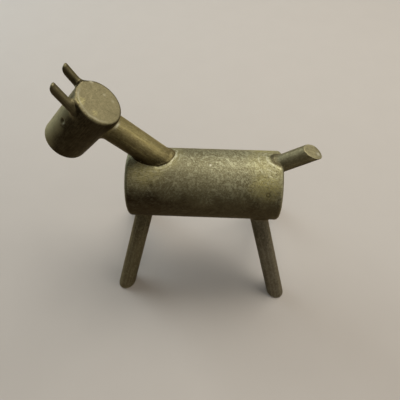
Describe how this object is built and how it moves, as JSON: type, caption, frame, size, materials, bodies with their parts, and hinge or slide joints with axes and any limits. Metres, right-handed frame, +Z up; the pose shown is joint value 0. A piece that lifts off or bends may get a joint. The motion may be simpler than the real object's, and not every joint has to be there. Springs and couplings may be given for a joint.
{
  "type": "brass donkey figurine",
  "caption": "Small tabletop donkey figurine made of lengths of round brass bar brazed together, standing on splayed legs with its neck raised and ears up.",
  "frame": {"origin": "on the ground under the centre of the figurine's bounding box", "axes": "+Z up; X along the body bar with the head towards -X and the tail towards +X; the donkey's left side is -Y; the figurine is symmetric in Y but for the ear tips"},
  "size_m": [0.0934, 0.051, 0.0895],
  "materials": {
    "aged_brass_body": "aged olive-brown patina, grainy, golden in worn places, satin",
    "aged_brass_neck": "aged olive-brown patina, rubbed to a satin sheen",
    "aged_brass_head": "aged olive-brown patina, sawn and filed crown end, satin",
    "aged_brass_tail": "aged olive-grey patina, filed end, satin",
    "aged_brass_legs": "dark brown patina, satin"
  },
  "bodies": {
    "root": {"body": "aged_brass_body", "neck": "aged_brass_neck", "head": "aged_brass_head", "ear_left": "aged_brass_head", "ear_right": "aged_brass_head", "tail": "aged_brass_tail", "leg_front_left": "aged_brass_legs", "leg_front_right": "aged_brass_legs", "leg_rear_left": "aged_brass_legs", "leg_rear_right": "aged_brass_legs"}
  },
  "joints": []
}
